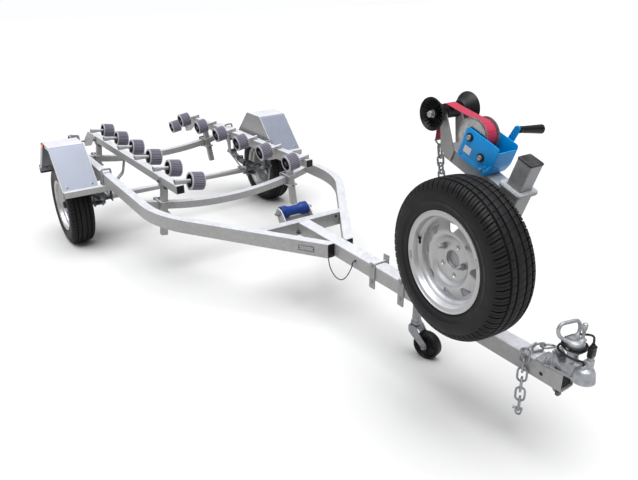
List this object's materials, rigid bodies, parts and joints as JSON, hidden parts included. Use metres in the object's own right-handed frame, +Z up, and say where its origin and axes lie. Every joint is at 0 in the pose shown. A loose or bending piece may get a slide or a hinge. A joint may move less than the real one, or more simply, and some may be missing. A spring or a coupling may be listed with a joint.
{
  "type": "boat trailer",
  "caption": "Single-axle boat trailer with roller beams, winch post, spare wheel, mudguards, jockey wheel and ball coupling.",
  "frame": {"origin": "centre of the coupling's ball socket", "axes": "+X forwards towards the tow vehicle, +Y to the trailer's left, +Z up; the drawbar slopes 3.5 degrees down to the front as the trailer stands parked"},
  "size_m": [4.861, 1.884, 1.2507],
  "materials": {
    "galvanised": "hot-dip galvanised, satin",
    "grey_metal": "weathered galvanised",
    "wheel_paint": "silver",
    "cast_zinc": "zinc plated casting",
    "tyre": "matt",
    "roller_rubber": "matt grey",
    "blue_rubber": "satin blue",
    "black_rubber": "matt black",
    "blue_paint": "gloss blue",
    "webbing": "woven crimson",
    "black_plastic": "black",
    "lamp": "lens"
  },
  "bodies": {
    "trailer": {"axle_beam": "grey_metal", "axle_stays": "galvanised", "beam_posts": "galvanised", "bow_roller_bracket": "galvanised", "coupling_body": "cast_zinc", "coupling_lever": "cast_zinc", "crank_grip": "black_plastic", "cross_members": "galvanised", "drawbar": "galvanised", "drawbar_clamps": "galvanised", "drawbar_wire": "black_rubber", "guard_stays": "galvanised", "jockey_bracket": "galvanised", "jockey_crank": "galvanised", "keel_roller_cradle": "galvanised", "lamps": "lamp", "leaf_springs": "grey_metal", "mudguards": "galvanised", "plug_cable": "black_rubber", "roller_axles": "galvanised", "roller_beams": "galvanised", "safety_chain": "galvanised", "side_rails": "galvanised", "spare_carrier": "galvanised", "spare_rim": "wheel_paint", "spare_tyre": "tyre", "strap_hook": "galvanised", "trailer_plug": "black_plastic", "winch_arm": "galvanised", "winch_crank": "blue_paint", "winch_drum": "galvanised", "winch_frame": "blue_paint", "winch_post": "galvanised", "winch_sleeve": "galvanised", "winch_strap": "webbing"},
    "wheel_left": {"rim_left": "wheel_paint", "tyre_left": "tyre", "hub_left": "grey_metal"},
    "wheel_right": {"rim_right": "wheel_paint", "tyre_right": "tyre", "hub_right": "grey_metal"},
    "keel_roller": {"keel_roller": "blue_rubber"},
    "bow_roller": {"bow_roller": "black_rubber"},
    "jockey_leg": {"jockey_stem": "galvanised"},
    "jockey_caster": {"jockey_fork": "galvanised"},
    "jockey_wheel": {"jockey_wheel": "black_rubber"},
    "hull_roller_left_1": {"hull_roller_left_1": "roller_rubber"},
    "hull_roller_left_2": {"hull_roller_left_2": "roller_rubber"},
    "hull_roller_left_3": {"hull_roller_left_3": "roller_rubber"},
    "hull_roller_left_4": {"hull_roller_left_4": "roller_rubber"},
    "hull_roller_left_5": {"hull_roller_left_5": "roller_rubber"},
    "hull_roller_left_6": {"hull_roller_left_6": "roller_rubber"},
    "tail_roller_left": {"tail_roller_left": "roller_rubber"},
    "hull_roller_right_1": {"hull_roller_right_1": "roller_rubber"},
    "hull_roller_right_2": {"hull_roller_right_2": "roller_rubber"},
    "hull_roller_right_3": {"hull_roller_right_3": "roller_rubber"},
    "hull_roller_right_4": {"hull_roller_right_4": "roller_rubber"},
    "hull_roller_right_5": {"hull_roller_right_5": "roller_rubber"},
    "hull_roller_right_6": {"hull_roller_right_6": "roller_rubber"},
    "tail_roller_right": {"tail_roller_right": "roller_rubber"}
  },
  "joints": [
    {"name": "wheel_left_spin", "type": "hinge", "parent": "trailer", "child": "wheel_left", "pos_m": [-3.59647, 0.811, -0.07809], "axis": [0, 1, 0], "continuous": true},
    {"name": "wheel_right_spin", "type": "hinge", "parent": "trailer", "child": "wheel_right", "pos_m": [-3.59647, -0.811, -0.07809], "axis": [0, 1, 0], "continuous": true},
    {"name": "hull_roller_left_1_spin", "type": "hinge", "parent": "trailer", "child": "hull_roller_left_1", "pos_m": [-2.39407, 0.333, 0.25223], "axis": [0.0101, 0.9863, 0.1647], "continuous": true},
    {"name": "hull_roller_left_2_spin", "type": "hinge", "parent": "trailer", "child": "hull_roller_left_2", "pos_m": [-2.74405, 0.333, 0.26323], "axis": [0.0101, 0.9863, 0.1647], "continuous": true},
    {"name": "hull_roller_left_3_spin", "type": "hinge", "parent": "trailer", "child": "hull_roller_left_3", "pos_m": [-3.09403, 0.333, 0.27423], "axis": [0.0101, 0.9863, 0.1647], "continuous": true},
    {"name": "hull_roller_left_4_spin", "type": "hinge", "parent": "trailer", "child": "hull_roller_left_4", "pos_m": [-3.44401, 0.333, 0.28523], "axis": [0.0101, 0.9863, 0.1647], "continuous": true},
    {"name": "hull_roller_left_5_spin", "type": "hinge", "parent": "trailer", "child": "hull_roller_left_5", "pos_m": [-3.79399, 0.333, 0.29623], "axis": [0.0101, 0.9863, 0.1647], "continuous": true},
    {"name": "hull_roller_left_6_spin", "type": "hinge", "parent": "trailer", "child": "hull_roller_left_6", "pos_m": [-4.14397, 0.333, 0.30723], "axis": [0.0101, 0.9863, 0.1647], "continuous": true},
    {"name": "tail_roller_left_spin", "type": "hinge", "parent": "trailer", "child": "tail_roller_left", "pos_m": [-4.75985, 0.476, 0.14786], "axis": [0.0101, 0.9863, 0.1647], "continuous": true},
    {"name": "hull_roller_right_1_spin", "type": "hinge", "parent": "trailer", "child": "hull_roller_right_1", "pos_m": [-2.39407, -0.333, 0.25223], "axis": [-0.0101, 0.9863, -0.1647], "continuous": true},
    {"name": "hull_roller_right_2_spin", "type": "hinge", "parent": "trailer", "child": "hull_roller_right_2", "pos_m": [-2.74405, -0.333, 0.26323], "axis": [-0.0101, 0.9863, -0.1647], "continuous": true},
    {"name": "hull_roller_right_3_spin", "type": "hinge", "parent": "trailer", "child": "hull_roller_right_3", "pos_m": [-3.09403, -0.333, 0.27423], "axis": [-0.0101, 0.9863, -0.1647], "continuous": true},
    {"name": "hull_roller_right_4_spin", "type": "hinge", "parent": "trailer", "child": "hull_roller_right_4", "pos_m": [-3.44401, -0.333, 0.28523], "axis": [-0.0101, 0.9863, -0.1647], "continuous": true},
    {"name": "hull_roller_right_5_spin", "type": "hinge", "parent": "trailer", "child": "hull_roller_right_5", "pos_m": [-3.79399, -0.333, 0.29623], "axis": [-0.0101, 0.9863, -0.1647], "continuous": true},
    {"name": "hull_roller_right_6_spin", "type": "hinge", "parent": "trailer", "child": "hull_roller_right_6", "pos_m": [-4.14397, -0.333, 0.30723], "axis": [-0.0101, 0.9863, -0.1647], "continuous": true},
    {"name": "tail_roller_right_spin", "type": "hinge", "parent": "trailer", "child": "tail_roller_right", "pos_m": [-4.75985, -0.476, 0.14786], "axis": [-0.0101, 0.9863, -0.1647], "continuous": true},
    {"name": "keel_roller_spin", "type": "hinge", "parent": "trailer", "child": "keel_roller", "pos_m": [-1.84121, 0, 0.13465], "axis": [0, 1, 0], "continuous": true},
    {"name": "bow_roller_spin", "type": "hinge", "parent": "trailer", "child": "bow_roller", "pos_m": [-0.66273, 0, 0.82307], "axis": [0, 1, 0], "continuous": true},
    {"name": "jockey_leg_slide", "type": "slide", "parent": "trailer", "child": "jockey_leg", "axis": [0.061, 0, 0.9981], "range_m": [-0.15, 0.09]},
    {"name": "jockey_caster_swivel", "type": "hinge", "parent": "jockey_leg", "child": "jockey_caster", "pos_m": [-0.90362, 0.076, -0.19555], "axis": [0.061, 0, 0.9981], "continuous": true},
    {"name": "jockey_wheel_spin", "type": "hinge", "parent": "jockey_caster", "child": "jockey_wheel", "pos_m": [-0.84513, 0.09334, -0.29931], "axis": [0.2583, -0.9659, -0.0158], "continuous": true}
  ]
}
